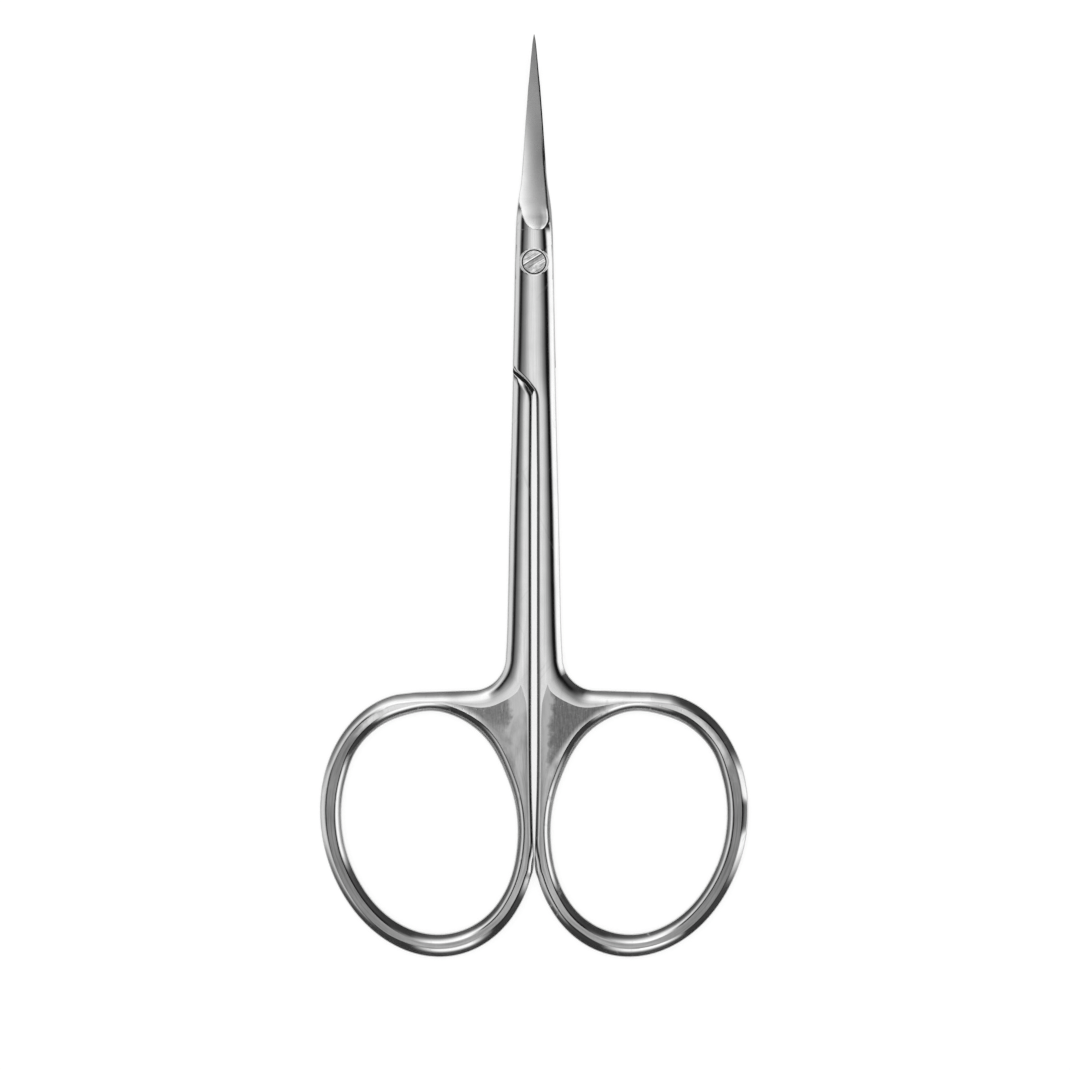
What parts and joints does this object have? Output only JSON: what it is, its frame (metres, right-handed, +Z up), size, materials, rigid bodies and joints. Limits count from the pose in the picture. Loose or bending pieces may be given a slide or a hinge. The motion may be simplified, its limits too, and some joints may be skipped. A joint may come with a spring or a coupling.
{
  "type": "cuticle scissors",
  "caption": "Fine-pointed cuticle scissors with curved blades, slender shanks and oval finger rings, joined by a slotted pivot screw so that the blades open and close.",
  "frame": {"origin": "below the middle of the closed scissors' bounding box, on the surface that they lie on", "axes": "+Y towards the blade tips, +X towards the ring of the front half, +Z up, on the side of the screw head"},
  "size_m": [0.0512, 0.1102, 0.0037],
  "materials": {
    "half_steel": "mirror-polished stainless steel with satin ground facets, ring faces and webs",
    "screw_steel": "turned and faced stainless steel"
  },
  "bodies": {
    "rear": {"rear_half": "half_steel", "pivot_screw": "screw_steel"},
    "front": {"front_half": "half_steel"}
  },
  "joints": [
    {"name": "pivot", "type": "hinge", "parent": "rear", "child": "front", "pos_m": [0, 0.02799, 0.0014], "axis": [0, 0, 1], "range_deg": [0, 120]}
  ]
}
